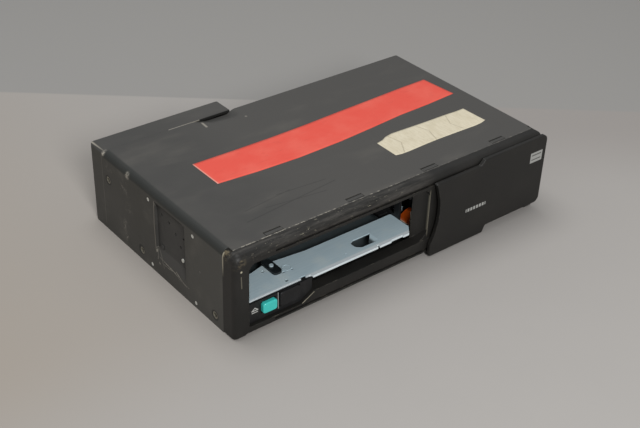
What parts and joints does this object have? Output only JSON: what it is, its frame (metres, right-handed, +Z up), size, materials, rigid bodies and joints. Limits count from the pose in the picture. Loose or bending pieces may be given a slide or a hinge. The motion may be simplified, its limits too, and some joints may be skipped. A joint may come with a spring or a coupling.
{
  "type": "car cd changer",
  "caption": "Flat metal box with a sliding front door, an open magazine bay with an eject button, and a disc player on a lift inside.",
  "frame": {"origin": "middle of the footprint, on the surface it stands on", "axes": "+X to the right seen from the front, +Y to the back, +Z up"},
  "size_m": [0.256, 0.17, 0.0602],
  "materials": {
    "case_paint": "dark grey paint on sheet steel, satin, scuffed",
    "bezel_plastic": "near-black moulded plastic, fine grain, worn edges",
    "black_plastic": "black moulded plastic",
    "teal_plastic": "teal moulded plastic",
    "white_plastic": "natural acetal",
    "zinc_steel": "zinc-plated sheet steel",
    "black_steel": "blackened steel",
    "ground_steel": "ground steel",
    "screw_steel": "zinc-plated screws",
    "spring_steel": "spring wire",
    "motor_can": "plated motor can",
    "brass_bush": "dull brass",
    "brass_gear": "brass",
    "label_red": "coral red printed film",
    "label_paper": "cream paper tape",
    "rubber_grey": "soft rubber",
    "board_green": "green circuit board",
    "chip_black": "moulded chip packages",
    "capacitor_can": "aluminium cans",
    "flex_orange": "orange flat cable",
    "connector_cream": "cream nylon",
    "lens_glass": "coated pickup lens"
  },
  "bodies": {
    "case": {"wrap_cover": "case_paint", "bottom_tray": "case_paint", "rear_panel": "case_paint", "rear_housing": "case_paint", "data_socket": "black_plastic", "power_socket": "black_plastic", "mount_bushes": "brass_bush", "cover_screws": "screw_steel", "front_bezel": "bezel_plastic", "button_frame": "black_plastic", "key_board": "board_green", "key_switches": "black_plastic", "red_label": "label_red", "paper_label": "label_paper", "selector_pivots": "case_paint", "dampers": "rubber_grey", "suspension_springs": "spring_steel", "main_board": "board_green", "board_posts": "screw_steel", "board_chips": "chip_black", "board_capacitors": "capacitor_can"},
    "door": {"door_leaf": "bezel_plastic"},
    "door_inner": {"door_inner_leaf": "black_plastic"},
    "eject_key": {"eject_button": "teal_plastic"},
    "reset_key": {"reset_button": "black_plastic"},
    "selector_left": {"selector_arm_left": "zinc_steel", "selector_spring_left": "spring_steel"},
    "selector_right": {"selector_arm_right": "zinc_steel", "selector_spring_right": "spring_steel"},
    "deck": {"deck_frame": "zinc_steel", "bay_plate": "zinc_steel", "bay_guide_left": "black_plastic", "bay_divider": "black_plastic", "deck_bridge": "zinc_steel", "guide_posts": "ground_steel", "lift_motor": "motor_can", "flex_cable": "flex_orange", "flex_connector": "connector_cream"},
    "latch": {"latch_lever": "black_steel"},
    "ejector": {"magazine_ejector": "black_plastic"},
    "lift_drive": {"lift_screw": "ground_steel", "lift_gear": "white_plastic"},
    "lift_pinion": {"lift_pinion": "brass_gear"},
    "player": {"player_frame": "zinc_steel", "spindle_motor": "motor_can", "sled_rods": "ground_steel", "sled_motor": "motor_can", "feed_motor": "motor_can", "clamp_pins": "ground_steel", "clamp_spring": "spring_steel"},
    "turntable": {"turntable": "black_plastic"},
    "clamp": {"clamp_arm": "zinc_steel"},
    "puck": {"clamp_puck": "white_plastic"},
    "sled": {"pickup_sled": "black_plastic"},
    "lens": {"pickup_lens": "lens_glass"},
    "sled_drive": {"sled_screw": "white_plastic"},
    "sled_pinion": {"sled_pinion": "brass_gear"},
    "roller": {"feed_roller": "rubber_grey", "roller_shaft": "ground_steel"},
    "feed_pinion": {"feed_pinion": "white_plastic"}
  },
  "joints": [
    {"name": "door_slide", "type": "slide", "parent": "case", "child": "door", "axis": [-1, 0, 0], "range_m": [0, 0.15]},
    {"name": "door_inner_slide", "type": "slide", "parent": "case", "child": "door_inner", "axis": [-1, 0, 0], "range_m": [0, 0.058]},
    {"name": "eject_press", "type": "slide", "parent": "case", "child": "eject_key", "axis": [0, 1, 0], "range_m": [0, 0.0012], "stiffness_N_per_m": 300, "springref_m": -0.001},
    {"name": "reset_press", "type": "slide", "parent": "case", "child": "reset_key", "axis": [0, 1, 0], "range_m": [0, 0.0008], "stiffness_N_per_m": 300, "springref_m": -0.001},
    {"name": "selector_left_turn", "type": "hinge", "parent": "case", "child": "selector_left", "pos_m": [-0.1247, 0.0005, 0.022], "axis": [1, 0, 0], "range_deg": [-80, 0]},
    {"name": "selector_right_turn", "type": "hinge", "parent": "case", "child": "selector_right", "pos_m": [0.1247, 0.0005, 0.022], "axis": [1, 0, 0], "range_deg": [-80, 0]},
    {"name": "deck_float", "type": "slide", "parent": "case", "child": "deck", "axis": [0, 0, 1], "range_m": [-0.0015, 0.0015], "stiffness_N_per_m": 3000, "springref_m": 0.00202, "deforming": ["suspension_springs"]},
    {"name": "latch_turn", "type": "hinge", "parent": "deck", "child": "latch", "pos_m": [-0.0845, -0.0574, 0.023], "axis": [0, 0, 1], "range_deg": [-10, 10], "stiffness_Nm_per_rad": 0.01},
    {"name": "ejector_push", "type": "slide", "parent": "deck", "child": "ejector", "axis": [0, 1, 0], "range_m": [0, 0.018], "stiffness_N_per_m": 60, "springref_m": -0.01},
    {"name": "player_lift", "type": "slide", "parent": "deck", "child": "player", "axis": [0, 0, 1], "range_m": [0, 0.021]},
    {"name": "lift_screw_turn", "type": "hinge", "parent": "deck", "child": "lift_drive", "pos_m": [0.08999, -0.0601, 0.013], "axis": [0, 0, 1], "range_deg": [-2525, 5]},
    {"name": "lift_pinion_turn", "type": "hinge", "parent": "deck", "child": "lift_pinion", "pos_m": [0.106, -0.055, 0.013], "axis": [0, 0, 1], "range_deg": [-10, 6310]},
    {"name": "turntable_spin", "type": "hinge", "parent": "player", "child": "turntable", "pos_m": [0.056, 0.003, 0.025], "axis": [0, 0, 1], "continuous": true},
    {"name": "clamp_swing", "type": "hinge", "parent": "player", "child": "clamp", "pos_m": [0.1149, 0.003, 0.028], "axis": [0, 1, 0], "range_deg": [0, 3], "stiffness_Nm_per_rad": 0.1, "springref_deg": -11.46, "deforming": ["clamp_spring"]},
    {"name": "puck_spin", "type": "hinge", "parent": "clamp", "child": "puck", "pos_m": [0.056, 0.003, 0.028], "axis": [0, 0, 1], "continuous": true},
    {"name": "sled_slide", "type": "slide", "parent": "player", "child": "sled", "axis": [0, -1, 0], "range_m": [0, 0.035]},
    {"name": "lens_focus", "type": "slide", "parent": "sled", "child": "lens", "axis": [0, 0, 1], "range_m": [-0.0004, 0.0004], "stiffness_N_per_m": 5, "springref_m": 0.00034},
    {"name": "sled_screw_turn", "type": "hinge", "parent": "player", "child": "sled_drive", "pos_m": [0.073, 0.003, 0.0185], "axis": [0, 1, 0], "range_deg": [-5, 4205]},
    {"name": "sled_pinion_turn", "type": "hinge", "parent": "player", "child": "sled_pinion", "pos_m": [0.0783, 0.003, 0.0132], "axis": [0, 1, 0], "range_deg": [-8410, 10]},
    {"name": "roller_spin", "type": "hinge", "parent": "player", "child": "roller", "pos_m": [0.022, 0.003, 0.0215], "axis": [0, 1, 0], "continuous": true},
    {"name": "feed_pinion_turn", "type": "hinge", "parent": "player", "child": "feed_pinion", "pos_m": [0.02894, 0.003, 0.01323], "axis": [0, 1, 0], "continuous": true}
  ],
  "couplings": [
    {"joint": "door_inner_slide", "follows": "door_slide", "ratio": 0.38667},
    {"joint": "lift_screw_turn", "follows": "player_lift", "rad_per_m": -2094.4},
    {"joint": "lift_pinion_turn", "follows": "player_lift", "rad_per_m": 5236},
    {"joint": "sled_screw_turn", "follows": "sled_slide", "rad_per_m": 2094.4},
    {"joint": "sled_pinion_turn", "follows": "sled_slide", "rad_per_m": -4188.8},
    {"joint": "feed_pinion_turn", "follows": "roller_spin", "ratio": -0.38461}
  ]
}
